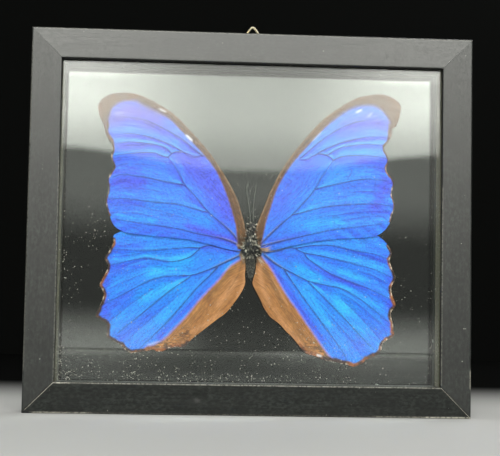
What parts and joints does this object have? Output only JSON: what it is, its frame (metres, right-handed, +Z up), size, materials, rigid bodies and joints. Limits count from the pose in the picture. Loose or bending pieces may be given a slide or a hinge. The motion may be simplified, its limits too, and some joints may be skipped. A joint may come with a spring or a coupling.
{
  "type": "framed butterfly specimen",
  "caption": "Spread blue butterfly held between clear panes in a black mitred wooden frame that stands on its edge or hangs by a wire ring.",
  "frame": {"origin": "middle of the whole part's box, on the surface that the frame stands on", "axes": "+Z up, -Y out of the front of the frame, +X to the right as seen from the front"},
  "size_m": [0.21, 0.0228, 0.1899],
  "materials": {
    "black_wood": "satin black stain with fine grain, worn pale at a few edges",
    "spacer_wood": "raw olive-brown strip wood",
    "pin_steel": "dull steel",
    "clear_glass": "clear float glass, slightly dusty",
    "brass": "bright plated",
    "wing_scales": "iridescent blue scales with brown borders",
    "body_hair": "dark grey and pale tufted hair",
    "clear_glue": "clear set glue"
  },
  "bodies": {
    "root": {"rail_top": "black_wood", "rail_bottom": "black_wood", "rail_left": "black_wood", "rail_right": "black_wood", "stop_top": "black_wood", "stop_bottom": "black_wood", "stop_left": "black_wood", "stop_right": "black_wood", "spacer_top": "spacer_wood", "spacer_bottom": "spacer_wood", "spacer_left": "spacer_wood", "spacer_right": "spacer_wood", "stop_pin_top_1": "pin_steel", "stop_pin_top_2": "pin_steel", "stop_pin_bottom_1": "pin_steel", "stop_pin_bottom_2": "pin_steel", "stop_pin_left_1": "pin_steel", "stop_pin_left_2": "pin_steel", "stop_pin_right_1": "pin_steel", "stop_pin_right_2": "pin_steel", "glass_front": "clear_glass", "glass_rear": "clear_glass", "hanger_strap": "brass", "hanger_ring": "brass", "hanger_screw": "brass", "forewing_left": "wing_scales", "forewing_right": "wing_scales", "hindwing_left": "wing_scales", "hindwing_right": "wing_scales", "butterfly_body": "body_hair", "antenna_left": "body_hair", "antenna_right": "body_hair", "glue_dab": "clear_glue"}
  },
  "joints": []
}
